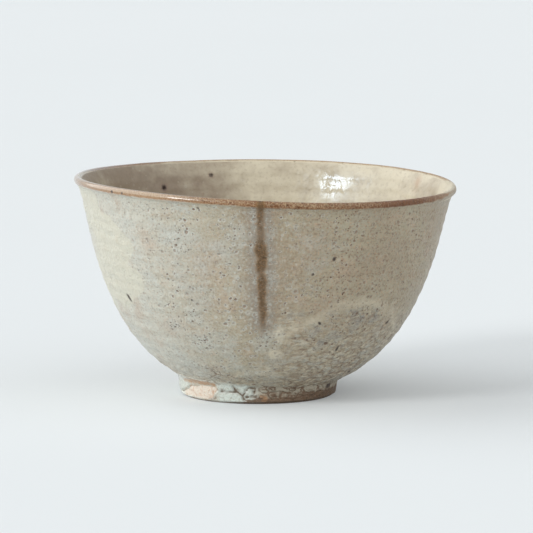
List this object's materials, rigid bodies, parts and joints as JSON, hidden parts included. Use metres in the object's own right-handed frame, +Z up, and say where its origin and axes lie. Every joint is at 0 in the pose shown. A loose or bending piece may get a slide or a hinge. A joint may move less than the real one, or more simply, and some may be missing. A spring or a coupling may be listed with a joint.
{
  "type": "tea bowl",
  "caption": "Hand-thrown stoneware tea bowl with a rounded flaring wall, satin ash glaze, an iron-brown lip with a trickled run, and a low offset foot ring.",
  "frame": {"origin": "on the plane that the foot stands on, under the middle of the mouth", "axes": "+Z up out of the mouth, -Y towards the front with the iron run, +X to the right of that view"},
  "size_m": [0.1308, 0.1308, 0.0759],
  "materials": {
    "stoneware": "fired, unglazed",
    "bare_foot_clay": "fired, unglazed, rough",
    "ash_glaze": "satin, pinholed",
    "cream_glaze": "glossy, rippled",
    "iron_lip": "satin",
    "iron_run": "satin",
    "crackled_glaze": "glossy, crackled",
    "well_glaze": "satin"
  },
  "bodies": {
    "root": {"clay_body": "stoneware", "foot_ring": "bare_foot_clay", "outer_glaze": "ash_glaze", "inner_glaze": "cream_glaze", "lip_band": "iron_lip", "iron_run": "iron_run", "foot_glaze": "crackled_glaze", "foot_well_glaze": "well_glaze"}
  },
  "joints": []
}
